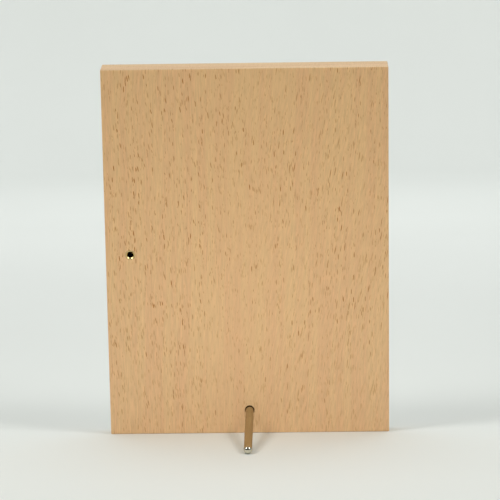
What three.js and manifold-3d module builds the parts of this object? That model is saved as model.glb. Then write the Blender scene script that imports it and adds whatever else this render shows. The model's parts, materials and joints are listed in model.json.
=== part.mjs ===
// Beech picture panel on a screw-in steel pin.
//
// A solid beech board carries a picture print on its front face. Two brass threaded inserts are let into its
// rear face: one above the middle of the bottom edge, for standing the panel upright, and one beside the middle
// of a long edge, for standing it on its side. A polished steel pin screws into either insert. The panel then
// leans back and rests on its rear bottom arris and on the pin's domed tip.
//
// Millimetres, +Z up. The picture faces -Y, the pin points to +Y, and +X is to the right of someone who looks
// at the picture. The origin is under the middle of the whole object, on the surface that it stands on.

import * as THREE from 'three';
import { RoundedBoxGeometry } from 'three/addons/geometries/RoundedBoxGeometry.js';
import { mergeVertices } from 'three/addons/utils/BufferGeometryUtils.js';
import Module from 'manifold-3d';

// Board
const PANEL_WIDTH = 150;
const PANEL_HEIGHT = 200;
const PANEL_THICKNESS = 15;
const ARRIS_RADIUS = 0.5;
const ARRIS_STEPS = 2;

// Insert holes: distance from each hole's axis to the edge that the panel stands on
const HOLE_INSET = 13;
const HOLE_CLEARANCE = 0.1;
const DRILL_ALLOWANCE = 1;

// Brass insert for an M4 thread
const THREAD_BORE = 3.3;
const INSERT_WALL = 0.85;
const INSERT_LENGTH = 10;
const INSERT_SETBACK = 0.3;
const MOUTH_CHAMFER = 0.4;
const LEAD_CHAMFER = 0.3;
const GROOVE_WIDTH = 2;
const GROOVE_DEPTH = 0.3;

// Stand pin
const PIN_DIAMETER = 4.4;
const PIN_BODY_LENGTH = 66.6;
const STUD_LENGTH = 8.4;
const STUD_CLEARANCE = 0.1;
const STUD_CHAMFER = 0.4;
const NECK_WIDTH = 0.8;
const NECK_DEPTH = 0.25;
const SHOULDER_CHAMFER = 0.1;
const SEAT_GAP = 0.1;
const PIN_CLEARANCE = 0.3;
const DOME_STEPS = 10;

// Picture print and the film that bonds it to the board
const PRINT_THICKNESS = 0.3;
const PRINT_MARGIN = 1;
const FILM_THICKNESS = 0.1;
const FILM_INSET = 0.5;
const BOND_GAP = 0.1;

const ROUND_SEGMENTS = 48;

// Worked out from the sizes above
const BORE_RADIUS = THREAD_BORE / 2;
const INSERT_RADIUS = BORE_RADIUS + INSERT_WALL;
const HOLE_RADIUS = INSERT_RADIUS + HOLE_CLEARANCE;
const HOLE_DEPTH = INSERT_SETBACK + INSERT_LENGTH + DRILL_ALLOWANCE;
const PIN_RADIUS = PIN_DIAMETER / 2;
const MOUTH_RADIUS = PIN_RADIUS + PIN_CLEARANCE;
const STUD_RADIUS = BORE_RADIUS - STUD_CLEARANCE;
// The insert's mouth chamfer stops short of the pin's shoulder, which needs a flat rim to seat on.
const RIM_CHAMFER = Math.min(MOUTH_CHAMFER, PIN_RADIUS - SHOULDER_CHAMFER - BORE_RADIUS);
const SHOULDER_Y = SEAT_GAP - INSERT_SETBACK;
const PIN_REACH = SHOULDER_Y + PIN_BODY_LENGTH;

// The rear bottom arris and the dome both touch the ground, so that for a lean t
// (HOLE_INSET - ARRIS_RADIUS) cos t - (PIN_REACH - PIN_RADIUS + ARRIS_RADIUS) sin t = PIN_RADIUS - ARRIS_RADIUS.
function leanAngle() {
  const rise = HOLE_INSET - ARRIS_RADIUS;
  const run = PIN_REACH - PIN_RADIUS + ARRIS_RADIUS;
  return Math.acos((PIN_RADIUS - ARRIS_RADIUS) / Math.hypot(rise, run)) - Math.atan2(run, rise);
}

const wasm = await Module();
wasm.setup();

// A closed geometry as a solid that can be cut.
function toSolid(geometry) {
  const bare = geometry.clone();
  bare.deleteAttribute('normal');
  bare.deleteAttribute('uv');
  const merged = mergeVertices(bare);
  const mesh = new wasm.Mesh({
    numProp: 3,
    vertProperties: new Float32Array(merged.attributes.position.array),
    triVerts: new Uint32Array(merged.index.array),
  });
  return new wasm.Manifold(mesh);
}

// A solid as a geometry that can be shown.
function toGeometry(solid) {
  const { vertProperties, triVerts } = solid.getMesh();
  const geometry = new THREE.BufferGeometry();
  geometry.setAttribute('position', new THREE.BufferAttribute(vertProperties, 3));
  geometry.setIndex(new THREE.BufferAttribute(triVerts, 1));
  geometry.computeVertexNormals();
  return geometry;
}

// A body turned about the Y axis from [radius, y] points that run up its outside.
function turned(profile) {
  return new THREE.LatheGeometry(profile.map(([radius, y]) => new THREE.Vector2(radius, y)), ROUND_SEGMENTS);
}

// Where the two inserts sit on the rear face.
const PORTRAIT_PLACE = new THREE.Vector3(0, 0, HOLE_INSET);
const LANDSCAPE_PLACE = new THREE.Vector3(PANEL_WIDTH / 2 - HOLE_INSET, 0, PANEL_HEIGHT / 2);

// A drill of the given radius that stands at a hole's place and reaches the given depth below the rear face.
// It starts one radius above the face, so that it cuts the mouth cleanly.
function drill(place, radius, depth) {
  const bit = new THREE.CylinderGeometry(radius, radius, depth + radius, ROUND_SEGMENTS);
  bit.translate(place.x, (radius - depth) / 2, place.z);
  return toSolid(bit);
}

// Board with rounded arrises and two blind holes in its rear face. A hole's mouth is opened out where the pin is
// wider than the insert, because the pin's shoulder seats on the insert below the face.
function boardGeometry() {
  const blank = new RoundedBoxGeometry(PANEL_WIDTH, PANEL_THICKNESS, PANEL_HEIGHT, ARRIS_STEPS, ARRIS_RADIUS);
  blank.translate(0, -PANEL_THICKNESS / 2, PANEL_HEIGHT / 2);
  let board = toSolid(blank);
  for (const place of [PORTRAIT_PLACE, LANDSCAPE_PLACE]) {
    board = board.subtract(drill(place, HOLE_RADIUS, HOLE_DEPTH));
    if (MOUTH_RADIUS > HOLE_RADIUS) {
      board = board.subtract(drill(place, MOUTH_RADIUS, INSERT_SETBACK));
    }
  }
  return toGeometry(board);
}

// Insert: two holding bands with a groove between them, a lead-in at the inner end and a chamfered mouth.
function insertGeometry() {
  const inner = -INSERT_SETBACK - INSERT_LENGTH;
  const outer = -INSERT_SETBACK;
  const middle = (inner + outer) / 2;
  return turned([
    [BORE_RADIUS, inner],
    [INSERT_RADIUS - LEAD_CHAMFER, inner],
    [INSERT_RADIUS, inner + LEAD_CHAMFER],
    [INSERT_RADIUS, middle - GROOVE_WIDTH / 2],
    [INSERT_RADIUS - GROOVE_DEPTH, middle - GROOVE_WIDTH / 2 + GROOVE_DEPTH],
    [INSERT_RADIUS - GROOVE_DEPTH, middle + GROOVE_WIDTH / 2 - GROOVE_DEPTH],
    [INSERT_RADIUS, middle + GROOVE_WIDTH / 2],
    [INSERT_RADIUS, outer],
    [BORE_RADIUS + RIM_CHAMFER, outer],
    [BORE_RADIUS, outer - RIM_CHAMFER],
    [BORE_RADIUS, inner],
  ]);
}

// Pin: chamfered stud, neck relief, flat shoulder, plain body and a hemispherical tip.
function pinGeometry() {
  const domeCentre = PIN_REACH - PIN_RADIUS;
  const profile = [
    [0, SHOULDER_Y - STUD_LENGTH],
    [STUD_RADIUS - STUD_CHAMFER, SHOULDER_Y - STUD_LENGTH],
    [STUD_RADIUS, SHOULDER_Y - STUD_LENGTH + STUD_CHAMFER],
    [STUD_RADIUS, SHOULDER_Y - NECK_WIDTH - NECK_DEPTH],
    [STUD_RADIUS - NECK_DEPTH, SHOULDER_Y - NECK_WIDTH],
    [STUD_RADIUS - NECK_DEPTH, SHOULDER_Y],
    [PIN_RADIUS - SHOULDER_CHAMFER, SHOULDER_Y],
    [PIN_RADIUS, SHOULDER_Y + SHOULDER_CHAMFER],
  ];
  for (let step = 0; step < DOME_STEPS; step += 1) {
    const angle = (step / DOME_STEPS) * (Math.PI / 2);
    profile.push([PIN_RADIUS * Math.cos(angle), domeCentre + PIN_RADIUS * Math.sin(angle)]);
  }
  profile.push([0, PIN_REACH]);
  return turned(profile);
}

// A sheet that lies over the board's front face, the given distance off it.
function sheetGeometry(margin, thickness, standoff) {
  const sheet = new THREE.BoxGeometry(PANEL_WIDTH - 2 * margin, thickness, PANEL_HEIGHT - 2 * margin);
  sheet.translate(0, -PANEL_THICKNESS - standoff - thickness / 2, PANEL_HEIGHT / 2);
  return sheet;
}

function part(name, geometry, finish) {
  const mesh = new THREE.Mesh(geometry, new THREE.MeshStandardMaterial(finish));
  mesh.name = name;
  return mesh;
}

const BEECH = { color: 0xd4ae7e, roughness: 0.55, metalness: 0 };
const BRASS = { color: 0xc9a24a, roughness: 0.3, metalness: 1 };
const POLISHED_STEEL = { color: 0xc9ccd0, roughness: 0.12, metalness: 1 };
const PRINT = { color: 0xb9c7c4, roughness: 0.35, metalness: 0 };
const FILM = { color: 0xf2f0ea, roughness: 0.6, metalness: 0 };

const panel = new THREE.Group();
panel.add(part('beech_panel', boardGeometry(), BEECH));

const portraitInsert = part('portrait_insert', insertGeometry(), BRASS);
portraitInsert.position.copy(PORTRAIT_PLACE);
panel.add(portraitInsert);

const landscapeInsert = part('landscape_insert', insertGeometry(), BRASS);
landscapeInsert.position.copy(LANDSCAPE_PLACE);
panel.add(landscapeInsert);

const pin = part('stand_pin', pinGeometry(), POLISHED_STEEL);
pin.position.copy(PORTRAIT_PLACE);
panel.add(pin);

const printStandoff = BOND_GAP + FILM_THICKNESS + BOND_GAP;
panel.add(part('adhesive_film', sheetGeometry(PRINT_MARGIN + FILM_INSET, FILM_THICKNESS, BOND_GAP), FILM));
panel.add(part('picture_print', sheetGeometry(PRINT_MARGIN, PRINT_THICKNESS, printStandoff), PRINT));

// Lean the panel back, then set it down with the origin under its middle.
panel.rotation.x = -leanAngle();
const extent = new THREE.Box3().setFromObject(panel, true);
const middle = extent.getCenter(new THREE.Vector3());
panel.position.set(-middle.x, -middle.y, -extent.min.z);

const pictureStand = new THREE.Group();
pictureStand.add(panel);

export default pictureStand;
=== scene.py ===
"""Looks of a beech picture panel that leans back on a screw-in steel pin.

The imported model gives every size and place. Each sub-assembly class reads the box of its part in the board's
own axes, works out finer surfaces with numpy, and dresses them in procedural finishes. Lengths are in metres,
and the texture sizes inside the finishes are in millimetres of the board's own axes.
"""

import json
import logging
import math
from dataclasses import dataclass, field
from enum import Enum

import bmesh
import bpy
import numpy as np
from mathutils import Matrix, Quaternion, Vector


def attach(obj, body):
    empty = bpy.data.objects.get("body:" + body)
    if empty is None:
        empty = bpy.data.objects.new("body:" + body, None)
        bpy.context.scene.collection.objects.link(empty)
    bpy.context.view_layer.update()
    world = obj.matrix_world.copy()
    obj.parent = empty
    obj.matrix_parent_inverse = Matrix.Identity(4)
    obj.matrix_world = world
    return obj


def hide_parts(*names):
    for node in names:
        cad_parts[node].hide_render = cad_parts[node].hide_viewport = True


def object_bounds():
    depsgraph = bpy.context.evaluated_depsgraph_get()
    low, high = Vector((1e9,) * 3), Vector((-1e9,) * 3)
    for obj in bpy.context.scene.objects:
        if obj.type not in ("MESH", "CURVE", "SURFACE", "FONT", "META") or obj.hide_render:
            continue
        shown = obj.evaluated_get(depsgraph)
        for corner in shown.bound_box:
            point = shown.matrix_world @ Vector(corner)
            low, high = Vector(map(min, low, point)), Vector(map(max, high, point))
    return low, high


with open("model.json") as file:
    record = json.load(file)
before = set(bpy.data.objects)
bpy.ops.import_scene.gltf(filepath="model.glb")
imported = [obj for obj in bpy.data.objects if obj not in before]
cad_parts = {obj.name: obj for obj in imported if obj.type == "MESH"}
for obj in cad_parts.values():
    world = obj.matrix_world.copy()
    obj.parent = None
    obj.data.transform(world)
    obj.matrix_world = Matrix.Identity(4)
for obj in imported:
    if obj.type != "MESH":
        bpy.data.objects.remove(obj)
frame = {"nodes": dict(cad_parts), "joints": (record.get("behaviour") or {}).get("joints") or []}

CAD_BOX = [list(corner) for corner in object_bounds()]
MIDDLE = (Vector(CAD_BOX[0]) + Vector(CAD_BOX[1])) / 2
MM = 0.001
MERGE_DISTANCE = 2e-6
ROUNDING = 1e-6
WHITE = (1.0, 1.0, 1.0)
LOG = logging.getLogger("picture_panel")

Socket = bpy.types.NodeSocket
Pair = tuple[float, float]
Triple = tuple[float, float, float]
Colour = Triple
Patch = tuple[np.ndarray, np.ndarray]


class Part(Enum):
    """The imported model's nodes."""

    BOARD = "beech_panel"
    PORTRAIT_INSERT = "portrait_insert"
    LANDSCAPE_INSERT = "landscape_insert"
    PIN = "stand_pin"
    FILM = "adhesive_film"
    PRINT = "picture_print"


class Body(Enum):
    """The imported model's moving bodies."""

    PANEL = "panel"
    PIN = "pin"


# --------------------------------------------------------------------------------- board's own axes


@dataclass(frozen=True)
class BoardAxes:
    """The board's own axes, from the middle of its rear bottom edge: x across, y out of the back, z up.

    Attributes:
        lean: how far the board leans back, in radians.
        origin: the middle of the rear bottom edge in the row's frame.
    """

    lean: float
    origin: Triple

    @staticmethod
    def from_frame() -> "BoardAxes":
        """Reads the lean from the pin's axis and the origin from the board's vertices.

        Returns:
            The axes in which the board is an upright box.
        """
        axis = frame["joints"][0]["axis"]
        lean = math.atan2(-axis[2], axis[1])
        upright = BoardAxes(lean, (0.0, 0.0, 0.0))
        low, high = upright.box(Part.BOARD)
        corner = np.array([[(low[0] + high[0]) / 2, high[1], low[2]]])
        return BoardAxes(lean, tuple(float(v) for v in upright.to_row(corner)[0]))

    def turn(self) -> np.ndarray:
        """The 3 by 3 matrix that turns the board's axes into the row's."""
        sine, cosine = math.sin(self.lean), math.cos(self.lean)
        return np.array([[1.0, 0.0, 0.0], [0.0, cosine, sine], [0.0, -sine, cosine]])

    def to_row(self, points: np.ndarray) -> np.ndarray:
        """Points in the board's axes, carried into the row's frame."""
        return points @ self.turn().T + np.array(self.origin)

    def box(self, part: Part) -> tuple[np.ndarray, np.ndarray]:
        """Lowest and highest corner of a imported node, measured in the board's axes.

        Args:
            part: the node to measure.

        Returns:
            The two corners as arrays of three numbers.
        """
        mesh = frame["nodes"][part.value].data
        flat = np.empty(len(mesh.vertices) * 3)
        mesh.vertices.foreach_get("co", flat)
        local = (flat.reshape(-1, 3) - np.array(self.origin)) @ self.turn()
        return local.min(axis=0), local.max(axis=0)

    def round_part(self, part: Part) -> tuple[Pair, float, float, float]:
        """Measures a packed round part whose axis runs along y.

        Args:
            part: the node to measure.

        Returns:
            The x and z of its axis, its outer radius, and the y of its inner and its outer end.
        """
        low, high = self.box(part)
        centre = ((low[0] + high[0]) / 2, (low[2] + high[2]) / 2)
        return centre, (high[0] - low[0]) / 2, low[1], high[1]


# ----------------------------------------------------------------------------------- surface making


def grid_quads(rows: int, columns: int, wrap_rows: bool = False, wrap_columns: bool = False) -> np.ndarray:
    """Quads of a grid whose vertex in row i and column j has number i * columns + j.

    Args:
        rows: number of rows of vertices.
        columns: number of vertices in a row.
        wrap_rows: whether the last row joins the first.
        wrap_columns: whether the last column joins the first.

    Returns:
        An array of four vertex numbers a quad.
    """
    row = np.arange(rows if wrap_rows else rows - 1)
    column = np.arange(columns if wrap_columns else columns - 1)
    i, j = np.meshgrid(row, column, indexing="ij")
    below, beside = (i + 1) % rows, (j + 1) % columns
    corners = [i * columns + j, below * columns + j, below * columns + beside, i * columns + beside]
    return np.stack(corners, axis=-1).reshape(-1, 4)


def revolve(radius: np.ndarray, height: np.ndarray, centre: Pair, ring: bool) -> Patch:
    """A body of revolution about the board's y axis direction.

    The point at profile step i and angle step j is centre + radius[i, j] * (sin a, cos a) across and
    height[i] along y, where a runs round the full circle. A radius may vary with the angle, as on a thread.

    Args:
        radius: radii, one row for each profile step and one column for each angle.
        height: y of each profile step.
        centre: x and z of the axis.
        ring: whether the profile closes on itself, as a ring's does.

    Returns:
        The vertices and the quads.
    """
    rows, columns = radius.shape
    angle = np.arange(columns) * (2 * math.pi / columns)
    x = centre[0] + radius * np.sin(angle)
    z = centre[1] + radius * np.cos(angle)
    y = np.broadcast_to(height[:, None], radius.shape)
    points = np.stack([x, y, z], axis=-1).reshape(-1, 3)
    return points, grid_quads(rows, columns, wrap_rows=ring, wrap_columns=True)


def triangle_wave(phase: np.ndarray) -> np.ndarray:
    """A wave that runs 0, 1, 0 over each whole number of the phase, in straight lines."""
    return 1.0 - np.abs(2.0 * (phase - np.floor(phase)) - 1.0)


def spread(corners: list[float], step: float) -> np.ndarray:
    """Grid lines that include every corner value and lie no further apart than step.

    Args:
        corners: values that must be lines, in rising order.
        step: the widest spacing allowed.

    Returns:
        The lines in rising order.
    """
    runs = []
    for low, high in zip(corners, corners[1:]):
        count = max(1, math.ceil((high - low) / step - ROUNDING))
        runs.append(np.linspace(low, high, count + 1)[:-1])
    return np.concatenate([*runs, [corners[-1]]])


def make_piece(
    name: str, patches: list[Patch], axes: BoardAxes, sharp_degrees: float = 40.0
) -> bpy.types.Object:
    """Joins patches into one closed mesh object at the row's origin.

    Args:
        name: the piece's name.
        patches: surfaces that meet edge to edge.
        axes: the axes that the points are given in.
        sharp_degrees: an edge that turns more than this is drawn sharp.

    Returns:
        The new object, linked to the scene.
    """
    counts = np.cumsum([0] + [len(points) for points, _ in patches])
    points = np.concatenate([points for points, _ in patches])
    quads = np.concatenate([quads + first for (_, quads), first in zip(patches, counts)])
    mesh = bpy.data.meshes.new(name)
    mesh.from_pydata(axes.to_row(points).tolist(), [], quads.tolist())
    work = bmesh.new()
    work.from_mesh(mesh)
    bmesh.ops.remove_doubles(work, verts=work.verts, dist=MERGE_DISTANCE)
    bmesh.ops.recalc_face_normals(work, faces=work.faces)
    work.to_mesh(mesh)
    work.free()
    mesh.shade_smooth()
    mesh.set_sharp_from_angle(angle=math.radians(sharp_degrees))
    piece = bpy.data.objects.new(name, mesh)
    bpy.context.scene.collection.objects.link(piece)
    return piece


# ------------------------------------------------------------------------------------ node plumbing


class Graph:
    """A material's node tree, with one short call for each kind of node that the finishes use."""

    def __init__(self, name: str) -> None:
        """Makes an empty material.

        Args:
            name: the material's name.
        """
        self.material = bpy.data.materials.new(name)
        self.material.use_nodes = True
        self.tree = self.material.node_tree
        self.tree.nodes.clear()

    def node(self, kind: str, inputs: dict[str | int, object], **settings: object) -> bpy.types.Node:
        """Adds a node.

        Args:
            kind: the node's Blender type.
            inputs: values or sockets for the node's inputs, by name or number.
            settings: the node's own properties.

        Returns:
            The node.
        """
        made = self.tree.nodes.new(kind)
        for key, value in settings.items():
            setattr(made, key, value)
        for key, value in inputs.items():
            if isinstance(value, Socket):
                self.tree.links.new(value, made.inputs[key])
            else:
                made.inputs[key].default_value = value
        return made

    def board_millimetres(self, axes: BoardAxes) -> Socket:
        """Object coordinates turned into the board's axes, in millimetres."""
        place = {"Location": axes.origin, "Rotation": (-axes.lean, 0.0, 0.0), "Scale": (MM, MM, MM)}
        return self.mapped(self.node("ShaderNodeTexCoord", {}).outputs["Object"], place)

    def mapped(self, vector: Socket, place: dict[str, object]) -> Socket:
        """A vector seen from a texture that stands at the given location, rotation and scale."""
        return self.node("ShaderNodeMapping", {"Vector": vector, **place}, vector_type="TEXTURE").outputs[0]

    def cells(self, vector: Socket, size: Triple, tilt: float = 0.0) -> Socket:
        """A vector in cells of the given size, turned about the board's y axis.

        Args:
            vector: the coordinates, in millimetres.
            size: a cell's width, depth and height, in millimetres.
            tilt: degrees that the cells' tops lean towards +x.

        Returns:
            Coordinates that rise by one for each cell.
        """
        return self.mapped(vector, {"Rotation": (0.0, math.radians(tilt), 0.0), "Scale": size})

    def noise(self, vector: Socket, detail: float = 2.0, rough: float = 0.5, output: str = "Fac") -> Socket:
        """Noise with one feature for each unit of the vector."""
        inputs = {"Vector": vector, "Scale": 1.0, "Detail": detail, "Roughness": rough}
        return self.node("ShaderNodeTexNoise", inputs).outputs[output]

    def voronoi(self, vector: Socket) -> tuple[Socket, Socket]:
        """Distance to the nearest of points scattered one to a unit, and that point's random colour."""
        outputs = self.node("ShaderNodeTexVoronoi", {"Vector": vector, "Scale": 1.0}).outputs
        return outputs["Distance"], outputs["Color"]

    def wander(self, vector: Socket, size: Triple, reach: Triple) -> Socket:
        """A shift that changes smoothly from place to place.

        Args:
            vector: the coordinates, in millimetres.
            size: width, depth and height of the shift's features, in millimetres.
            reach: the most that the shift varies by along x, y and z, in millimetres.

        Returns:
            The shift.
        """
        drift = self.noise(self.cells(vector, size), output="Color")
        return self.vector_math("MULTIPLY", self.vector_math("SUBTRACT", drift, (0.5, 0.5, 0.5)), reach)

    def math(self, operation: str, *values: object) -> Socket:
        """Arithmetic on numbers."""
        return self.node("ShaderNodeMath", dict(enumerate(values)), operation=operation).outputs[0]

    def times(self, first: object, second: object) -> Socket:
        """The product of two numbers."""
        return self.math("MULTIPLY", first, second)

    def most(self, first: object, second: object) -> Socket:
        """The larger of two numbers."""
        return self.math("MAXIMUM", first, second)

    def vector_math(self, operation: str, *values: object) -> Socket:
        """Arithmetic on vectors."""
        return self.node("ShaderNodeVectorMath", dict(enumerate(values)), operation=operation).outputs[0]

    def remap(
        self, value: Socket, low: object, high: object, bottom: object, top: object, way: str = "LINEAR"
    ) -> Socket:
        """A change from bottom to top as the value goes from low to high, held at both ends."""
        inputs = {"Value": value, "From Min": low, "From Max": high, "To Min": bottom, "To Max": top}
        return self.node("ShaderNodeMapRange", inputs, interpolation_type=way).outputs[0]

    def step(
        self, value: Socket, low: object, high: object, bottom: object = 0.0, top: object = 1.0
    ) -> Socket:
        """A smooth step from bottom to top as the value goes from low to high."""
        return self.remap(value, low, high, bottom, top, "SMOOTHSTEP")

    def mix(self, share: object, first: object, second: object, blend: str = "MIX") -> Socket:
        """Two colours mixed by a share of the second."""
        inputs = {0: share, 6: opaque(first), 7: opaque(second)}
        return self.node("ShaderNodeMix", inputs, data_type="RGBA", blend_type=blend).outputs[2]

    def split(self, vector: Socket) -> tuple[Socket, Socket, Socket]:
        """The three parts of a vector."""
        outputs = self.node("ShaderNodeSeparateXYZ", {"Vector": vector}).outputs
        return outputs[0], outputs[1], outputs[2]

    def bump(
        self, height: Socket, depth: float, strength: float, under: Socket | None = None
    ) -> Socket:
        """A bumped normal.

        Args:
            height: 0 to 1.
            depth: metres that a height of 1 stands for.
            strength: how much of the bump shows.
            under: a normal that this bump is laid on.

        Returns:
            The normal.
        """
        inputs: dict[str | int, object] = {"Height": height, "Distance": depth, "Strength": strength}
        if under is not None:
            inputs["Normal"] = under
        return self.node("ShaderNodeBump", inputs).outputs[0]

    def surface(self, **inputs: object) -> bpy.types.Material:
        """Ends the tree in a principled shader.

        Args:
            inputs: the shader's inputs, with underscores for spaces.

        Returns:
            The finished material.
        """
        named = {key.replace("_", " "): opaque(value) for key, value in inputs.items()}
        shader = self.node("ShaderNodeBsdfPrincipled", named)
        self.node("ShaderNodeOutputMaterial", {"Surface": shader.outputs[0]})
        return self.material


def opaque(colour: object) -> object:
    """A colour of three numbers with an alpha of 1, and a socket as it is."""
    return (*colour, 1.0) if isinstance(colour, tuple) and len(colour) == 3 else colour


# ----------------------------------------------------------------------------------------- finishes


@dataclass(frozen=True)
class FleckLayer:
    """One family of dark ray flecks in the beech.

    Attributes:
        cell: width, depth and height in millimetres of the block of wood that holds one fleck at most.
        tilt: degrees that the flecks' tops lean towards +x.
        reach: a middling fleck's radius, as a share of its cell.
        presence: share of the cells that hold a fleck.
        strength: how dark the darkest flecks are; past 1 they grow fuller, not darker.
        sizes: radius of the smallest and the largest fleck, as shares of the reach.
        core: share of its radius over which a fleck is at its darkest.
        palest: strength of the palest fleck, as a share of the darkest one's.
    """

    cell: Triple
    tilt: float
    reach: float
    presence: float
    strength: float
    sizes: Pair = (0.55, 1.15)
    core: float = 0.6
    palest: float = 0.35

    def marks(self, graph: Graph, wood: Socket) -> Socket:
        """How much of a fleck each point holds.

        A cell's random colour says whether it holds a fleck, how large and how dark it is. The fleck fades
        out from its core to its radius.

        Args:
            graph: the tree to add to.
            wood: the wood's coordinates, in millimetres.

        Returns:
            0 off the flecks, up to the layer's strength on them.
        """
        distance, random = graph.voronoi(graph.cells(wood, self.cell, self.tilt))
        chance, size, tone = graph.split(random)
        held = graph.math("LESS_THAN", chance, self.presence)
        radius = graph.remap(size, 0.0, 1.0, self.reach * self.sizes[0], self.reach * self.sizes[1])
        shape = graph.step(distance, graph.times(radius, self.core), radius, 1.0, 0.0)
        dark = graph.remap(tone, 0.0, 1.0, self.strength * self.palest, self.strength)
        return graph.times(graph.times(shape, held), dark)


@dataclass(frozen=True)
class BeechFinish:
    """Fine-sanded beech: faint growth bands, long fibres, and short dark ray flecks.

    The wood is a solid pattern, so flecks show as short strokes on the faces, as broad flakes on the long
    edges and as thin lines on the end grain. Left and right are as seen from behind the board.

    Attributes:
        olive: the yellower growth bands.
        rosy: the pinker growth bands.
        fleck: the flecks.
        speck: the few pale specks.
        end_pale: the pale rings of the cut ends.
        end_rosy: the darker rings of the cut ends.
        painted_shade_at_head: painted shade, the factor that the colour is multiplied by at the board's top,
            which darkens the upper board the way weaker light there would.
        distinct: flecks that lean right, in the left half.
        upright: flecks all over the board.
        streaky: long flecks that lean left, in the right half.
        faint: small weak flecks all over the board.
        foot_share: how strong the flecks are at the board's foot, beside those higher up.
        foot_height: height in millimetres at which they reach full strength.
        edge_share: how strong they are on the narrow edges and the ends.
        edge_depth: how far into the wood an edge's own look reaches, in millimetres.
        fibre_shade: factors of the darkest and the lightest fibre.
        roughness: roughness of the darkest and the lightest fibre.
        relief: how far the fibres stand proud, in metres.
    """

    olive: Colour = (0.739, 0.483, 0.250)
    rosy: Colour = (0.727, 0.449, 0.240)
    fleck: Colour = (0.390, 0.130, 0.006)
    speck: Colour = (0.86, 0.64, 0.42)
    end_pale: Colour = (0.735, 0.543, 0.352)
    end_rosy: Colour = (0.630, 0.439, 0.275)
    painted_shade_at_head: Colour = (0.952, 0.928, 0.864)
    distinct: FleckLayer = FleckLayer((1.00, 3.2, 6.8), 9.0, 0.26, 0.75, 1.25)
    upright: FleckLayer = FleckLayer((0.90, 3.0, 6.2), 1.0, 0.26, 0.90, 1.12)
    streaky: FleckLayer = FleckLayer((0.85, 3.2, 10.0), -8.0, 0.27, 1.00, 0.98)
    faint: FleckLayer = FleckLayer((0.75, 2.6, 5.6), -2.0, 0.28, 0.95, 0.65)
    foot_share: float = 0.62
    foot_height: float = 85.0
    edge_share: float = 0.4
    edge_depth: float = 0.5
    fibre_shade: Pair = (0.92, 1.13)
    roughness: Pair = (0.46, 0.58)
    relief: float = 0.00003

    def end_grain(self, graph: Graph, wood: Socket) -> Socket:
        """The colour of the cut ends: growth rings nearly level with the faces, crossed by fine rays.

        Args:
            graph: the tree to add to.
            wood: the wood's coordinates, in millimetres.

        Returns:
            The colour.
        """
        rings = graph.noise(graph.cells(wood, (60.0, 1.3, 400.0)), 2.0, 0.6)
        rays = graph.noise(graph.cells(wood, (0.5, 7.0, 400.0)), 2.0, 0.6)
        tone = graph.math("ADD", graph.times(rings, 0.75), graph.times(rays, 0.25))
        return graph.mix(graph.step(tone, 0.38, 0.62), self.end_pale, self.end_rosy)

    def all_flecks(self, graph: Graph, wood: Socket, left: Socket) -> Socket:
        """The four families of flecks, laid over each other.

        Args:
            graph: the tree to add to.
            wood: the wood's coordinates, in millimetres.
            left: 1 in the left half and 0 in the right.

        Returns:
            How much of a fleck each point holds.
        """
        right = graph.math("SUBTRACT", 1.0, left)
        marks = graph.times(self.distinct.marks(graph, wood), left)
        marks = graph.most(marks, graph.times(self.streaky.marks(graph, wood), right))
        marks = graph.most(marks, self.upright.marks(graph, wood))
        return graph.most(marks, self.faint.marks(graph, wood))

    def specks(self, graph: Graph, board: Socket) -> Socket:
        """A few pale specks, at most one in a 9 mm block.

        Args:
            graph: the tree to add to.
            board: the board's coordinates, in millimetres.

        Returns:
            How much of a speck each point holds.
        """
        distance, random = graph.voronoi(graph.cells(board, (9.0, 9.0, 9.0)))
        held = graph.math("LESS_THAN", graph.split(random)[0], 0.12)
        return graph.times(graph.times(graph.step(distance, 0.02, 0.06, 1.0, 0.0), held), 0.6)

    def material(self, axes: BoardAxes) -> bpy.types.Material:
        """Builds the beech.

        Args:
            axes: the board's axes, which the grain follows.

        Returns:
            The material.
        """
        graph = Graph("beech")
        board = graph.board_millimetres(axes)
        wood = graph.vector_math("ADD", board, graph.wander(board, (70.0, 60.0, 110.0), (9.0, 2.0, 0.0)))
        frayed = graph.vector_math("ADD", wood, graph.wander(board, (1.5, 5.0, 3.0), (0.40, 0.8, 1.6)))
        patchy = graph.noise(graph.cells(board, (45.0, 40.0, 90.0)), 1.0)
        border = graph.times(graph.math("SUBTRACT", patchy, 0.5), 70.0)
        left = graph.step(graph.math("ADD", graph.split(wood)[0], border), -30.0, 30.0)

        bands = graph.noise(graph.cells(wood, (4.2, 22.0, 120.0), -2.0), 2.0, 0.6)
        colour = graph.mix(graph.step(bands, 0.36, 0.64), self.olive, self.rosy)
        upright_fibre = graph.noise(graph.cells(wood, (0.7, 1.6, 10.0)), 3.0, 0.6)
        leaning_fibre = graph.noise(graph.cells(wood, (0.65, 1.6, 8.0), -8.0), 3.0, 0.6)
        fibres = {0: left, 2: leaning_fibre, 3: upright_fibre}
        fibre = graph.node("ShaderNodeMix", fibres, data_type="FLOAT").outputs[0]

        low, high = axes.box(Part.BOARD)
        top, half_width = (high[2] - low[2]) / MM, (high[0] - low[0]) / 2 / MM
        deep, shallow = self.edge_depth, 0.3 * self.edge_depth
        across, _, height = graph.split(board)
        upper = graph.step(height, top - deep, top - shallow)
        lower = graph.step(height, shallow, deep, 1.0, 0.0)
        ends = graph.most(upper, lower)
        sides = graph.step(graph.math("ABSOLUTE", across), half_width - deep, half_width - shallow)

        colour = graph.mix(ends, colour, self.end_grain(graph, wood))
        # Painted shade: the colour darkens gradually from the board's foot to its top, standing in for weaker
        # light up there.
        painted_top_factor = graph.mix(graph.step(height, 0.0, top), WHITE, self.painted_shade_at_head)
        colour = graph.mix(1.0, colour, painted_top_factor, "MULTIPLY")
        grey = graph.remap(fibre, 0.3, 0.7, *self.fibre_shade)
        shading = graph.node("ShaderNodeCombineXYZ", {0: grey, 1: grey, 2: grey}).outputs[0]
        colour = graph.mix(1.0, colour, shading, "MULTIPLY")

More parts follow.
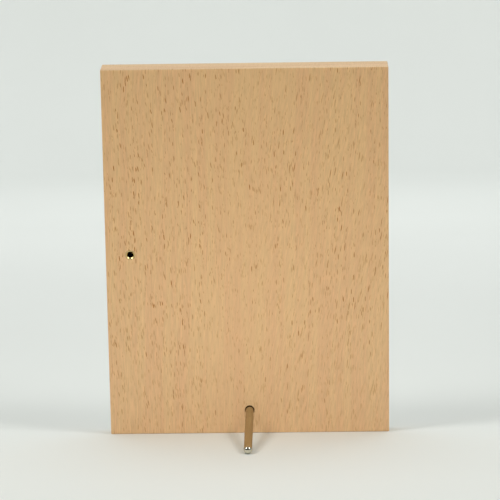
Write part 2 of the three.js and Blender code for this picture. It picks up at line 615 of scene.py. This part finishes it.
        marks = self.all_flecks(graph, frayed, left)
        streams = graph.noise(graph.cells(wood, (3.0, 20.0, 70.0)), 2.0, 0.6)
        marks = graph.times(marks, graph.step(streams, 0.36, 0.60, 0.45, 1.0))
        marks = graph.times(marks, graph.step(height, 0.0, self.foot_height, self.foot_share, 1.0))
        marks = graph.times(marks, graph.remap(graph.most(ends, sides), 0.0, 1.0, 1.0, self.edge_share))
        colour = graph.mix(marks, colour, self.fleck)
        colour = graph.mix(self.specks(graph, board), colour, self.speck)

        normal = graph.bump(graph.math("SUBTRACT", graph.times(fibre, 0.5), marks), self.relief, 0.6)
        roughness = graph.remap(fibre, 0.3, 0.7, *self.roughness)
        return graph.surface(Base_Color=colour, Roughness=roughness, Normal=normal, Specular_IOR_Level=0.35)


@dataclass(frozen=True)
class BrassFinish:
    """Turned brass with a light tarnish, and painted shade that darkens it below a depth in the board.

    Attributes:
        name: the material's name.
        bright: the clean brass.
        tarnish: its stains.
        painted_bore_shade: painted shade, the dark colour of the brass deep in the hole.
        painted_shade_from: depth below the rear face, in millimetres, at which the painted shade starts to
            darken the brass.
        painted_shade_to: depth at which the brass is all painted shade.
        roughness: least and most roughness.
        line_depth: depth of the turning lines, in metres.
    """

    name: str = "brass"
    bright: Colour = (0.86, 0.66, 0.31)
    tarnish: Colour = (0.52, 0.37, 0.15)
    painted_bore_shade: Colour = (0.15, 0.085, 0.035)
    painted_shade_from: float = 0.7
    painted_shade_to: float = 1.6
    roughness: Pair = (0.16, 0.38)
    line_depth: float = 0.000004

    def material(self, axes: BoardAxes) -> bpy.types.Material:
        """Builds the brass.

        Args:
            axes: the board's axes, which the turning marks follow.

        Returns:
            The material.
        """
        graph = Graph(self.name)
        board = graph.board_millimetres(axes)
        stain = graph.noise(graph.cells(board, (1.6, 1.6, 1.6)), 4.0, 0.6)
        colour = graph.mix(graph.step(stain, 0.42, 0.72, 0.0, 0.55), self.bright, self.tarnish)
        # Painted shade: the brass darkens with depth below the rear face, as the shade inside the hole would
        # make it.
        depth = graph.times(graph.split(board)[1], -1.0)
        colour = graph.mix(graph.step(depth, self.painted_shade_from, self.painted_shade_to), colour, self.painted_bore_shade)
        lines = graph.noise(graph.cells(board, (3.0, 0.06, 3.0)), 2.0)
        normal = graph.bump(lines, self.line_depth, 0.5)
        roughness = graph.remap(stain, 0.3, 0.75, *self.roughness)
        return graph.surface(Base_Color=colour, Metallic=1.0, Roughness=roughness, Normal=normal)


@dataclass(frozen=True)
class PolishedSteelFinish:
    """Mirror-polished steel with faint lathe lines and hairline scratches.

    Attributes:
        steel: the clean steel.
        smoky: its smudges.
        edge_tint: factor on what it reflects at a shallow angle.
        roughness: least and most roughness.
        lathe_depth: depth of the lathe lines, in metres.
        scratch_depth: depth of the scratches, in metres.
    """

    steel: Colour = (0.650, 0.615, 0.500)
    smoky: Colour = (0.575, 0.54, 0.437)
    edge_tint: Colour = (0.65, 0.62, 0.55)
    roughness: Pair = (0.045, 0.13)
    lathe_depth: float = 0.0000012
    scratch_depth: float = 0.0000015

    def material(self, axes: BoardAxes) -> bpy.types.Material:
        """Builds the steel.

        Args:
            axes: the board's axes, whose y runs along the pin.

        Returns:
            The material.
        """
        graph = Graph("polished_steel")
        board = graph.board_millimetres(axes)
        smudge = graph.noise(graph.cells(board, (3.5, 9.0, 3.5)), 3.0, 0.55)
        colour = graph.mix(graph.step(smudge, 0.35, 0.75, 0.0, 0.6), self.steel, self.smoky)
        lathe = graph.noise(graph.cells(board, (6.0, 0.09, 6.0)), 2.0)
        scratch = graph.noise(graph.cells(board, (0.25, 7.0, 0.25)), 3.0, 0.7)
        normal = graph.bump(lathe, self.lathe_depth, 0.35)
        normal = graph.bump(scratch, self.scratch_depth, 0.35, normal)
        roughness = graph.remap(smudge, 0.3, 0.75, *self.roughness)
        shine = {"Metallic": 1.0, "Roughness": roughness, "Specular_Tint": self.edge_tint}
        return graph.surface(Base_Color=colour, Normal=normal, **shine)


@dataclass(frozen=True)
class HillLayer:
    """One range of hills in the print: its mean height, its swing and its feature width in millimetres."""

    height: float
    swing: float
    width: float
    colour: Colour


@dataclass(frozen=True)
class PrintFinish:
    """A satin print of plain misty hills under an evening sky.

    Attributes:
        zenith: the top of the sky.
        horizon: the bottom of the sky, and the mist between the hills.
        sun: the sun's disc and its glow.
        hills: the ranges, from the farthest to the nearest.
        edge_softness: width of a ridge's soft edge, in millimetres.
        skyline: height at which the sky starts to turn blue.
        sky_top: height of the bluest sky.
        sun_place: the sun's middle in the board's axes.
        sun_radius: the disc's radius.
        roughness: least and most roughness.
        lustre_depth: depth of the satin grain, in metres.
    """

    zenith: Colour = (0.16, 0.31, 0.47)
    horizon: Colour = (0.88, 0.66, 0.44)
    sun: Colour = (1.0, 0.86, 0.62)
    hills: tuple[HillLayer, ...] = (
        HillLayer(104.0, 30.0, 46.0, (0.47, 0.42, 0.46)),
        HillLayer(86.0, 30.0, 34.0, (0.30, 0.32, 0.38)),
        HillLayer(64.0, 32.0, 40.0, (0.155, 0.215, 0.235)),
        HillLayer(40.0, 30.0, 28.0, (0.065, 0.115, 0.105)),
        HillLayer(16.0, 24.0, 36.0, (0.022, 0.048, 0.040)),
    )
    edge_softness: float = 0.9
    skyline: float = 92.0
    sky_top: float = 200.0
    sun_place: Triple = (-22.0, 0.0, 126.0)
    sun_radius: float = 9.0
    roughness: Pair = (0.24, 0.34)
    lustre_depth: float = 0.00001

    def sky(self, graph: Graph, board: Socket) -> Socket:
        """The sky's colour, with the sun and its glow.

        Args:
            graph: the tree to add to.
            board: the board's coordinates, in millimetres.

        Returns:
            The colour.
        """
        up = graph.split(board)[2]
        colour = graph.mix(graph.step(up, self.skyline, self.sky_top), self.horizon, self.zenith)
        away = graph.vector_math("SUBTRACT", board, self.sun_place)
        away = graph.vector_math("MULTIPLY", away, (1.0, 0.0, 1.0))
        distance = graph.node("ShaderNodeVectorMath", {0: away}, operation="LENGTH").outputs["Value"]
        radius = self.sun_radius
        colour = graph.mix(graph.step(distance, 0.0, radius * 6, 0.5, 0.0), colour, self.sun)
        return graph.mix(graph.step(distance, radius, radius + 1.0, 1.0, 0.0), colour, self.sun)

    def material(self, axes: BoardAxes) -> bpy.types.Material:
        """Builds the print.

        Each range of hills is the area below a line whose height is a noise of x, and nearer ranges cover
        farther ones.

        Args:
            axes: the board's axes, which the picture stands in.

        Returns:
            The material.
        """
        graph = Graph("print")
        board = graph.board_millimetres(axes)
        across, _, up = graph.split(board)
        colour = self.sky(graph, board)
        for number, hill in enumerate(self.hills):
            line = graph.node("ShaderNodeCombineXYZ", {0: across, 1: 0.0, 2: 37.0 * number}).outputs[0]
            outline = graph.noise(graph.cells(line, (hill.width, 1.0, 1.0)), 5.0, 0.42)
            half = hill.swing / 2
            ridge = graph.remap(outline, 0.2, 0.8, hill.height - half, hill.height + half)
            below = graph.math("SUBTRACT", ridge, up)
            haze = graph.step(graph.math("SUBTRACT", hill.height, up), -8.0, 30.0, 0.0, 0.35)
            shade = graph.mix(haze, hill.colour, self.horizon)
            colour = graph.mix(graph.step(below, 0.0, self.edge_softness), colour, shade)
        grain = graph.noise(graph.cells(board, (0.12, 0.12, 0.12)), 1.0)
        colour = graph.mix(graph.times(grain, 0.05), colour, self.horizon)
        lustre = graph.noise(graph.cells(board, (0.35, 0.35, 0.35)), 2.0)
        normal = graph.bump(lustre, self.lustre_depth, 0.35)
        roughness = graph.remap(lustre, 0.3, 0.7, *self.roughness)
        return graph.surface(Base_Color=colour, Roughness=roughness, Normal=normal, Coat_Weight=0.25)


@dataclass(frozen=True)
class FilmFinish:
    """Milky bonding film with a faint cloudiness."""

    milk: Colour = (0.80, 0.79, 0.75)
    cloud: Colour = (0.70, 0.69, 0.64)

    def material(self, axes: BoardAxes) -> bpy.types.Material:
        """Builds the film.

        Args:
            axes: the board's axes.

        Returns:
            The material.
        """
        graph = Graph("bonding_film")
        cloud = graph.noise(graph.cells(graph.board_millimetres(axes), (6.0, 6.0, 6.0)), 3.0)
        colour = graph.mix(cloud, self.milk, self.cloud)
        roughness = graph.remap(cloud, 0.3, 0.7, 0.45, 0.6)
        return graph.surface(Base_Color=colour, Roughness=roughness, Normal=graph.bump(cloud, 0.00001, 0.3))


@dataclass(frozen=True)
class StagePaint:
    """Matt off-white paint on the studio floor, a touch uneven."""

    white: Colour = (0.755, 0.785, 0.755)
    shade: Colour = (0.720, 0.750, 0.720)

    def material(self) -> bpy.types.Material:
        """Builds the paint.

        Returns:
            The finished material.
        """
        graph = Graph("stage_paint")
        place = graph.node("ShaderNodeTexCoord", {}).outputs["Object"]
        cloud = graph.noise(graph.mapped(place, {"Scale": (0.35, 0.35, 0.35)}), 4.0)
        fine = graph.noise(graph.mapped(place, {"Scale": (0.003, 0.003, 0.003)}), 3.0)
        colour = graph.mix(cloud, self.white, self.shade)
        return graph.surface(Base_Color=colour, Roughness=0.7, Normal=graph.bump(fine, 0.0001, 0.2))


# ----------------------------------------------------------------------------------- sub-assemblies


@dataclass
class Hole:
    """A blind hole in the board's rear face."""

    x: float
    z: float
    radius: float
    depth: float


@dataclass
class Slab:
    """A flat sheet or board with rounded arrises and, if asked, blind holes in its rear face.

    Attributes:
        low: lowest corner in the board's axes.
        high: highest corner in the board's axes.
        arris: radius of every edge.
        holes: blind holes in the rear face.
        arris_steps: facets round an arris.
        cell: widest spacing of the faces' grid lines.
        patch: half the side of the square that is cut out round a hole.
        patch_steps: grid steps along a side of that square.
        patch_rings: rings from the square's outline to the hole's mouth.
        crowding: how much closer together the rings lie near the mouth; 1 is even.
        mouth: width of the broken edge at a hole's mouth.
    """

    low: np.ndarray
    high: np.ndarray
    arris: float
    holes: list[Hole] = field(default_factory=list)
    arris_steps: int = 6
    cell: float = 8 * MM
    patch: float = 4 * MM
    patch_steps: int = 16
    patch_rings: int = 9
    crowding: float = 1.5
    mouth: float = 0.12 * MM

    def lines(self, axis: int, centres: list[float]) -> np.ndarray:
        """Grid lines of both faces along x (axis 0) or z (axis 2).

        Args:
            axis: which axis the lines divide.
            centres: hole centres along that axis, whose squares get their own fine lines.

        Returns:
            The lines in rising order, from one arris's inner edge to the other's.
        """
        first, last = self.low[axis] + self.arris, self.high[axis] - self.arris
        guard = 2 * self.arris
        step = 2 * self.patch / self.patch_steps
        fine = [spread([centre - self.patch, centre + self.patch], step) for centre in sorted(centres)]
        ends = [first, first + guard]
        runs = []
        for run in fine:
            runs.append(spread([*ends, run[0]], self.cell)[:-1])
            runs.append(run[:-1])
            ends = [run[-1]]
        runs.append(spread([*ends, last - guard, last], self.cell))
        return np.concatenate(runs)

    def face(self, xs: np.ndarray, zs: np.ndarray, y: float, cut: bool) -> Patch:
        """A flat face: the grid of all x lines by all z lines at one y, less the squares round the holes.

        Args:
            xs: x of the grid lines.
            zs: z of the grid lines.
            y: the face's y.
            cut: whether the squares are left out.

        Returns:
            The vertices and quads.
        """
        x, z = np.meshgrid(xs, zs, indexing="ij")
        points = np.stack([x, np.full_like(x, y), z], axis=-1).reshape(-1, 3)
        quads = grid_quads(len(xs), len(zs))
        if cut:
            middle = points[quads].mean(axis=1)
            for hole in self.holes:
                inside = np.maximum(abs(middle[:, 0] - hole.x), abs(middle[:, 2] - hole.z)) < self.patch
                quads, middle = quads[~inside], middle[~inside]
        return points, quads

    def rim(self, xs: np.ndarray, zs: np.ndarray) -> Patch:
        """The band round the outline: a profile carried along the inner rectangle.

        A vertex is base + rho * normal in the face's plane. The base runs round the inner rectangle, and
        stays at a corner while the normal turns through a right angle there. The profile is a quarter circle
        from the rear face, a straight side and a quarter circle to the front face, so the corners are balls.

        Args:
            xs: x lines of the faces, which the band meets.
            zs: z lines of the faces.

        Returns:
            The vertices and quads.
        """
        quarter = np.linspace(0.0, math.pi / 2, self.arris_steps + 1)
        rho = self.arris * np.concatenate([np.sin(quarter), np.cos(quarter)])
        rear = self.high[1] - self.arris * (1 - np.cos(quarter))
        front = self.low[1] + self.arris * (1 - np.sin(quarter))
        y = np.concatenate([rear, front])
        sides = [
            (np.stack([xs, np.full_like(xs, zs[0])], -1), -math.pi / 2),
            (np.stack([np.full_like(zs, xs[-1]), zs], -1), 0.0),
            (np.stack([xs[::-1], np.full_like(xs, zs[-1])], -1), math.pi / 2),
            (np.stack([np.full_like(zs, xs[0]), zs[::-1]], -1), math.pi),
        ]
        bases, turns = [], []
        for points, heading in sides:
            bases.append(points)
            turns.append(np.full(len(points), heading))
            bases.append(np.repeat(points[-1:], self.arris_steps - 1, axis=0))
            turns.append(heading + quarter[1:-1])
        base, turn = np.concatenate(bases), np.concatenate(turns)
        x = base[None, :, 0] + rho[:, None] * np.cos(turn)
        z = base[None, :, 1] + rho[:, None] * np.sin(turn)
        points = np.stack([x, np.broadcast_to(y[:, None], x.shape), z], axis=-1).reshape(-1, 3)
        return points, grid_quads(len(y), len(base), wrap_columns=True)

    def hole_patch(self, hole: Hole) -> Patch:
        """The square round a hole, its mouth, wall and floor, as one surface.

        Going in, the ring of vertices changes in a straight line from the square's outline to the mouth's
        circle, then keeps to circles: the broken edge, the wall, and the floor down to one point on the axis.

        Args:
            hole: the hole.

        Returns:
            The vertices and quads.
        """
        side = np.linspace(-self.patch, self.patch, self.patch_steps + 1)[:-1]
        edge = np.full_like(side, self.patch)
        square = np.concatenate([
            np.stack([side, -edge], -1), np.stack([edge, side], -1),
            np.stack([-side, edge], -1), np.stack([-edge, -side], -1),
        ])
        circle = square / np.linalg.norm(square, axis=1, keepdims=True)
        lip = hole.radius + self.mouth
        blend = (1 - np.linspace(0.0, 1.0, self.patch_rings)) ** self.crowding
        rings = [circle * lip + (square - circle * lip) * share for share in blend]
        heights = [self.high[1]] * len(rings)
        wall = [(hole.radius, self.mouth)]
        wall += [(radius, hole.depth) for radius in (hole.radius, hole.radius / 2, 0.0)]
        rings += [circle * radius for radius, _ in wall]
        heights += [self.high[1] - depth for _, depth in wall]
        ring = np.stack(rings)
        y = np.broadcast_to(np.array(heights)[:, None], ring.shape[:2])
        points = np.stack([ring[..., 0] + hole.x, y, ring[..., 1] + hole.z], axis=-1).reshape(-1, 3)
        return points, grid_quads(len(rings), len(circle), wrap_columns=True)

    def patches(self) -> list[Patch]:
        """All the surfaces that close the slab.

        Returns:
            The two broad faces, the rim and the holes, which meet edge to edge.
        """
        xs = self.lines(0, [hole.x for hole in self.holes])
        zs = self.lines(2, [hole.z for hole in self.holes])
        faces = [self.face(xs, zs, self.high[1], cut=True), self.face(xs, zs, self.low[1], cut=False)]
        return [*faces, self.rim(xs, zs), *[self.hole_patch(hole) for hole in self.holes]]


@dataclass
class BeechBoard:
    """The solid beech board with its two blind holes.

    Attributes:
        axes: the board's axes.
        arris: radius of the eased edges.
        hole_clearance: gap between an insert and its hole.
        hole_depth: depth of both holes.
    """

    axes: BoardAxes
    arris: float = 0.54 * MM
    hole_clearance: float = 0.1 * MM
    hole_depth: float = 11.3 * MM

    def hole_for(self, part: Part) -> Hole:
        """The hole that holds an insert."""
        (x, z), radius, _, _ = self.axes.round_part(part)
        return Hole(x, z, radius + self.hole_clearance, self.hole_depth)

    def build(self) -> None:
        """Makes the board, dresses it and lets it ride on the panel."""
        low, high = self.axes.box(Part.BOARD)
        holes = [self.hole_for(Part.PORTRAIT_INSERT), self.hole_for(Part.LANDSCAPE_INSERT)]
        slab = Slab(low, high, self.arris, holes)
        piece = make_piece("beech_board", slab.patches(), self.axes)
        install(piece, BeechFinish().material(self.axes), Body.PANEL, Part.BOARD)


@dataclass
class ThreadedInsert:
    """A brass insert: knurled bands outside, a chamfered mouth and a helical thread inside.

    Attributes:
        axes: the board's axes.
        part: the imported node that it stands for.
        name: the piece's name.
        finish: its brass.
        bore: radius at the thread's crests.
        thread_depth: how far the thread's roots lie outside the crests.
        pitch: the thread's rise in one turn.
        rim_chamfer: width of the chamfer at the mouth.
        rim_break: width of the broken edge outside the mouth.
        groove_width: width of the groove between the bands.
        groove_depth: its depth.
        lead: width of the chamfer at the inner end.
        knurl_count: ridges round a band.
        knurl_depth: depth of the knurl.
        segments: steps round the circle.
        rows_a_turn: steps along the bore for each turn of thread.
        sharp_degrees: an edge that turns more than this is drawn sharp.
    """

    axes: BoardAxes
    part: Part
    name: str
    finish: bpy.types.Material
    bore: float = 1.65 * MM
    thread_depth: float = 0.35 * MM
    pitch: float = 0.7 * MM
    rim_chamfer: float = 0.4 * MM
    rim_break: float = 0.08 * MM
    groove_width: float = 2.0 * MM
    groove_depth: float = 0.3 * MM
    lead: float = 0.3 * MM
    knurl_count: int = 32
    knurl_depth: float = 0.12 * MM
    segments: int = 128
    rows_a_turn: int = 8
    sharp_degrees: float = 35.0

    def surface(self) -> Patch:
        """The insert as a closed ring.

        The outside runs up from the inner end as straight lines, with radius less knurl_depth times a raised
        cosine of the angle on the two bands. The bore's radius is the bore plus thread_depth times a triangle
        wave of y over the pitch plus the angle in turns, which is a helix. It fades out at both ends.

        Returns:
            The vertices and quads.
        """
        centre, outer, inner_end, mouth = self.axes.round_part(self.part)
        middle, half, sunk = (inner_end + mouth) / 2, self.groove_width / 2, self.groove_depth
        outside = np.array([
            [outer - self.lead, inner_end, 0], [outer, inner_end + self.lead, 1],
            [outer, middle - half, 1], [outer - sunk, middle - half + sunk, 0],
            [outer - sunk, middle + half - sunk, 0], [outer, middle + half, 1],
            [outer, mouth - self.lead, 1], [outer - self.rim_break, mouth, 0],
            [self.bore + self.rim_chamfer, mouth, 0],
        ])
        angle = np.arange(self.segments) / self.segments
        knurl = 0.5 - 0.5 * np.cos(2 * math.pi * self.knurl_count * angle)
        outer_radius = outside[:, :1] - self.knurl_depth * outside[:, 2:] * knurl
        top = mouth - self.rim_chamfer
        count = int((top - inner_end) / self.pitch * self.rows_a_turn)
        y = np.linspace(top, inner_end, count)
        fade = np.clip(np.minimum(top - y, y - inner_end) / (self.pitch / 2), 0.0, 1.0)
        wave = triangle_wave(y[:, None] / self.pitch + angle[None, :])
        bore_radius = self.bore + self.thread_depth * fade[:, None] * wave
        radius = np.concatenate([outer_radius, bore_radius])
        return revolve(radius, np.concatenate([outside[:, 1], y]), centre, ring=True)

    def build(self) -> None:
        """Makes the insert, dresses it and lets it ride on the panel."""
        piece = make_piece(self.name, [self.surface()], self.axes, self.sharp_degrees)
        install(piece, self.finish, Body.PANEL, self.part)


@dataclass
class StandPin:
    """The polished pin: threaded stud, neck, shoulder, plain body and domed tip.

    Attributes:
        axes: the board's axes.
        stud_length: from the stud's end to the shoulder.
        stud_radius: radius at the thread's crests.
        thread_depth: depth of the thread.
        pitch: the thread's rise in one turn.
        stud_chamfer: width of the chamfer at the stud's end.
        neck_width: width of the relief before the shoulder.
        neck_depth: its depth.
        shoulder_chamfer: width of the shoulder's broken edge.
        segments: steps round the circle.
        rows_a_turn: steps along the stud for each turn of thread.
        body_rings: rings along the plain body.
        body_margin: from the shoulder and from the dome to the nearest of them.
        dome_steps: steps from the body to the tip's pole.
    """

    axes: BoardAxes
    stud_length: float = 8.4 * MM
    stud_radius: float = 1.55 * MM
    thread_depth: float = 0.35 * MM
    pitch: float = 0.7 * MM
    stud_chamfer: float = 0.4 * MM
    neck_width: float = 0.8 * MM
    neck_depth: float = 0.25 * MM
    shoulder_chamfer: float = 0.1 * MM
    segments: int = 96
    rows_a_turn: int = 10
    body_rings: int = 9
    body_margin: float = 2 * MM
    dome_steps: int = 24

    def surface(self) -> Patch:
        """The pin as one body of revolution with a helical thread on its stud.

        The stud's radius is its crest radius less thread_depth times a triangle wave of y over the pitch plus
        the angle in turns. The tip is a half ball. Both ends close on the axis.

        Returns:
            The vertices and quads.
        """
        centre, radius, end, tip = self.axes.round_part(Part.PIN)
        shoulder = end + self.stud_length
        angle = np.arange(self.segments) / self.segments

        first, last = end + self.stud_chamfer, shoulder - self.neck_width - self.neck_depth
        count = int((last - first) / self.pitch * self.rows_a_turn)
        stud_y = np.linspace(first, last, count)
        fade = np.clip(np.minimum(stud_y - first, last - stud_y) / (self.pitch / 2), 0.0, 1.0)
        wave = triangle_wave(stud_y[:, None] / self.pitch + angle[None, :])
        stud = self.stud_radius - self.thread_depth * fade[:, None] * wave

        turn = np.linspace(0.0, math.pi / 2, self.dome_steps + 1)
        root = self.stud_radius - self.neck_depth
        before = np.array([[0.0, end], [self.stud_radius - self.stud_chamfer, end]])
        neck = [[root, shoulder - self.neck_width], [root, shoulder]]
        edge = [[radius - self.shoulder_chamfer, shoulder], [radius, shoulder + self.shoulder_chamfer]]
        first, last = shoulder + self.body_margin, tip - radius - self.body_margin
        body = np.stack([
            np.full(self.body_rings, radius), np.linspace(first, last, self.body_rings),
        ], -1)
        dome = np.stack([radius * np.cos(turn), tip - radius + radius * np.sin(turn)], -1)
        after = np.concatenate([neck, edge, body, dome])
        plain_before = np.repeat(before[:, :1], self.segments, axis=1)
        plain_after = np.repeat(after[:, :1], self.segments, axis=1)
        radii = np.concatenate([plain_before, stud, plain_after])
        return revolve(radii, np.concatenate([before[:, 1], stud_y, after[:, 1]]), centre, ring=False)

    def build(self) -> None:
        """Makes the pin, dresses it and lets it ride on its own body."""
        piece = make_piece("polished_stand_pin", [self.surface()], self.axes)
        finish = PolishedSteelFinish().material(self.axes)
        install(piece, finish, Body.PIN, Part.PIN)


@dataclass
class PictureLayer:
    """The print and the film that bonds it, both thin sheets on the board's front face.

    Attributes:
        axes: the board's axes.
        print_arris: edge radius of the print.
        film_arris: edge radius of the film.
    """

    axes: BoardAxes
    print_arris: float = 0.08 * MM
    film_arris: float = 0.03 * MM

    def build(self) -> None:
        """Makes both sheets, dresses them and lets them ride on the panel."""
        sheets = [
            ("print_sheet", Part.PRINT, self.print_arris, PrintFinish().material(self.axes), "print"),
            ("bonding_film", Part.FILM, self.film_arris, FilmFinish().material(self.axes), "film"),
        ]
        for name, part, arris, finish, slot in sheets:
            low, high = self.axes.box(part)
            slab = Slab(low, high, arris, arris_steps=3, cell=12 * MM)
            install(make_piece(name, slab.patches(), self.axes), finish, Body.PANEL, part)


def install(
    piece: bpy.types.Object, finish: bpy.types.Material, body: Body, part: Part
) -> None:
    """Dresses a piece and puts it in the frame.

    Args:
        piece: the piece.
        finish: its material.
        body: the body that it moves with.
        part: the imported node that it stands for.
    """
    piece.data.materials.append(finish)
    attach(piece, body.value)
    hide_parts(part.value)
    LOG.info("%s: %d faces, rides on %s", piece.name, len(piece.data.polygons), body.value)


# --------------------------------------------------------------------------------------- the studio


def hang_lamp(data: bpy.types.Light, place: Triple, target: Vector, shows_in_metal: bool) -> None:
    """Links a lamp to the scene.

    Args:
        data: the light.
        place: where it stands.
        target: the point that it looks at.
        shows_in_metal: whether polished metal reflects it.
    """
    lamp = bpy.data.objects.new(data.name, data)
    lamp.location = place
    lamp.rotation_euler = (target - Vector(place)).to_track_quat("-Z", "Y").to_euler()
    lamp.visible_glossy = shows_in_metal
    bpy.context.scene.collection.objects.link(lamp)


@dataclass
class Softbox:
    """One area light that looks at the object.

    Attributes:
        name: the light's name.
        place: where it stands.
        size: its width and height.
        power: watts.
        colour: its tint.
        shows_in_metal: whether polished metal reflects it.
        aim: the point that it looks at, or None for the object's middle.
    """

    name: str
    place: Triple
    size: Pair
    power: float
    colour: Colour = WHITE
    shows_in_metal: bool = True
    aim: Triple | None = None

    def build(self) -> None:
        """Makes the light."""
        data = bpy.data.lights.new(self.name, "AREA")
        data.shape = "RECTANGLE"
        data.size, data.size_y = self.size
        data.energy = self.power
        data.color = self.colour
        target = MIDDLE if self.aim is None else Vector(self.aim)
        hang_lamp(data, self.place, target, self.shows_in_metal)


@dataclass
class Spot:
    """A soft spot behind the panel that lights the lower middle of its back more than the edges.

    Attributes:
        place: where it stands.
        power: watts.
        cone: full angle of its cone, in degrees.
        softness: radius of the lamp, in metres.
        colour: its tint.
        aim_height: height of the point on the board that it looks at.
    """

    place: Triple = (0.0, 1.5, 0.35)
    power: float = 36.0
    cone: float = 10.5
    softness: float = 0.12
    colour: Colour = (1.0, 0.98, 0.95)
    aim_height: float = 0.062

    def build(self) -> None:
        """Makes the spot, which polished metal doesn't reflect."""
        data = bpy.data.lights.new("soft_spot", "SPOT")
        data.energy = self.power
        data.color = self.colour
        data.spot_size = math.radians(self.cone)
        data.spot_blend = 1.0
        data.shadow_soft_size = self.softness
        hang_lamp(data, self.place, Vector((MIDDLE.x, MIDDLE.y, self.aim_height)), False)


@dataclass
class Studio:
    """A pale round cove, the lamps, and the camera behind the panel.

    Attributes:
        floor_radius: radius of the flat floor.
        cove_radius: radius of the curve from floor to wall.
        lens: focal length in millimetres on a 36 mm sensor.
        distance: from the camera to its aim.
        pitch: degrees that the camera looks down.
        yaw: degrees that it stands off the y axis.
        roll: degrees that it is rolled.
        aim_offset: the aim, from the middle of the object's box.
        softboxes: the area lights.
        spot: the soft spot behind the panel.
        room: colour of the light from outside the cove.
        room_strength: its strength everywhere but behind the camera.
        room_behind_camera: its strength behind the camera, which darkens one band of the steel.
        room_edge: y of the directions between which it dims.
        floor_rings: rings of the flat floor.
        cove_rings: rings of the curve.
        spokes: steps round the cove.
    """

    floor_radius: float = 2.0
    cove_radius: float = 0.5
    lens: float = 189.65
    distance: float = 1.3847
    pitch: float = 5.57
    yaw: float = -1.022
    roll: float = -0.754
    aim_offset: Triple = (-0.00173, 0.0, 0.00182)
    softboxes: tuple[Softbox, ...] = (
        Softbox("left_softbox", (0.80, 0.55, 0.95), (0.45, 0.45), 6.9, (1.0, 0.985, 0.96)),
        Softbox("right_softbox", (-0.80, 0.55, 0.95), (0.45, 0.45), 6.2, (1.0, 0.985, 0.96)),
        Softbox("overhead", (0.0, -0.25, 1.6), (1.8, 1.0), 7.5, WHITE, False, (0.0, -0.2, 0.0)),
        Softbox("background_light", (0.0, -1.5, 1.3), (3.0, 1.2), 23.0, WHITE, False, (0.0, -1.9, 0.0)),
    )
    spot: Spot = field(default_factory=Spot)
    room: Colour = (0.95, 1.0, 0.98)
    room_strength: float = 0.30
    room_behind_camera: float = 0.03
    room_edge: Pair = (0.05, 0.45)
    floor_rings: int = 8
    cove_rings: int = 13
    spokes: int = 96

    def build_stage(self) -> None:
        """Makes the cove: a flat floor and a quarter-circle rise, turned about the z axis."""
        turn = np.linspace(0.0, math.pi / 2, self.cove_rings)
        rise = np.stack([
            self.floor_radius + self.cove_radius * np.sin(turn),
            self.cove_radius * (1 - np.cos(turn)),
        ], -1)
        reach = np.linspace(0.0, self.floor_radius, self.floor_rings + 1)[:-1]
        profile = np.concatenate([np.stack([reach, np.zeros(self.floor_rings)], -1), rise])
        angle = np.linspace(0.0, 2 * math.pi, self.spokes + 1)[:-1]
        x = profile[:, :1] * np.cos(angle)
        y = profile[:, :1] * np.sin(angle)
        z = np.broadcast_to(profile[:, 1:], x.shape)
        points = np.stack([x, y, z], axis=-1).reshape(-1, 3)
        mesh = bpy.data.meshes.new("studio_floor")
        mesh.from_pydata(points.tolist(), [], grid_quads(*x.shape, wrap_columns=True).tolist())
        mesh.shade_smooth()
        mesh.materials.append(StagePaint().material())
        floor = bpy.data.objects.new("studio_floor", mesh)
        bpy.context.scene.collection.objects.link(floor)

    def build_camera(self) -> None:
        """Makes the camera, which looks at the object's middle from behind the panel."""
        pitch, yaw = math.radians(self.pitch), math.radians(self.yaw)
        level = math.cos(pitch)
        forward = Vector((-math.sin(yaw) * level, -math.cos(yaw) * level, -math.sin(pitch)))
        data = bpy.data.cameras.new("camera")
        data.lens = self.lens
        data.clip_start, data.clip_end = 0.05, 20.0
        camera = bpy.data.objects.new("camera", data)
        camera.location = MIDDLE + Vector(self.aim_offset) - forward * self.distance
        camera.rotation_mode = "QUATERNION"
        rolled = Quaternion(forward, -math.radians(self.roll))
        camera.rotation_quaternion = rolled @ forward.to_track_quat("-Z", "Y")
        bpy.context.scene.collection.objects.link(camera)
        bpy.context.scene.camera = camera

    def build_light(self) -> None:
        """Makes the lamps and the light from outside the cove, which is dim behind the camera."""
        for lamp in (*self.softboxes, self.spot):
            lamp.build()
        world = bpy.data.worlds.new("studio_room")
        world.use_nodes = True
        tree = world.node_tree
        background = tree.nodes["Background"]
        background.inputs["Color"].default_value = opaque(self.room)
        direction = tree.nodes.new("ShaderNodeTexCoord")
        parts = tree.nodes.new("ShaderNodeSeparateXYZ")
        dimming = tree.nodes.new("ShaderNodeMapRange")
        dimming.interpolation_type = "SMOOTHSTEP"
        values = (*self.room_edge, self.room_strength, self.room_behind_camera)
        for key, value in zip(("From Min", "From Max", "To Min", "To Max"), values):
            dimming.inputs[key].default_value = value
        tree.links.new(direction.outputs["Generated"], parts.inputs[0])
        tree.links.new(parts.outputs["Y"], dimming.inputs["Value"])
        tree.links.new(dimming.outputs[0], background.inputs["Strength"])
        bpy.context.scene.world = world

    def build(self) -> None:
        """Makes the whole studio."""
        self.build_camera()
        self.build_stage()
        self.build_light()
        bpy.context.scene.view_settings.view_transform = "Standard"
        LOG.info("studio: %d lamps", len(self.softboxes) + 1)


def main() -> None:
    """Builds every sub-assembly in order."""
    logging.basicConfig(level=logging.INFO, format="%(name)s: %(message)s")
    axes = BoardAxes.from_frame()
    Studio().build()
    BeechBoard(axes).build()
    # Painted shade: the portrait insert's brass darkens from just below the rear face, so the ring round the
    # pin reads as a dark gap; the other insert darkens only deep in its bore.
    portrait_shaded_brass = BrassFinish("painted_shade_brass", painted_shade_from=-0.1, painted_shade_to=0.25).material(axes)
    clean = BrassFinish().material(axes)
    ThreadedInsert(axes, Part.PORTRAIT_INSERT, "portrait_thread_insert", portrait_shaded_brass).build()
    ThreadedInsert(axes, Part.LANDSCAPE_INSERT, "landscape_thread_insert", clean).build()
    StandPin(axes).build()
    PictureLayer(axes).build()


if __name__ == "__main__":
    main()
